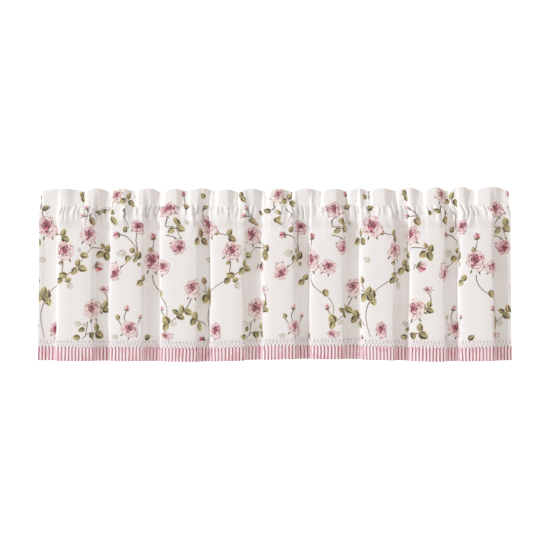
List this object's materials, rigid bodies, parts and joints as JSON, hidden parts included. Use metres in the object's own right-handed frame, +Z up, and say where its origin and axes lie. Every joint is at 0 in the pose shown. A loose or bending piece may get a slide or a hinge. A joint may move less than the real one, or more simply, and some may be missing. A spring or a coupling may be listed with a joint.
{
  "type": "window valance",
  "caption": "Gathered rod-pocket window valance of rose-print cloth hung in soft folds, with a frilled heading, a striped band along the hem and a lace trim over the joint.",
  "frame": {"origin": "the middle of the valance's top edge, over the axis of the rod that it hangs on", "axes": "+X along the rod, to the right as seen from the room; +Y from the room towards the window, so the printed face looks along -Y; +Z up"},
  "size_m": [1.256, 0.0443, 0.464],
  "materials": {
    "rose_print": "plain-weave cotton blend, white ground printed with trailing roses, matt",
    "pink_stripe": "plain-weave cotton with fine dusty-pink and white stripes down the drop, matt",
    "lace_white": "white cotton edging with rows of small holes, matt"
  },
  "bodies": {
    "root": {"heading": "rose_print", "rose_panel": "rose_print", "stripe_band": "pink_stripe", "lace_trim": "lace_white"}
  },
  "joints": []
}
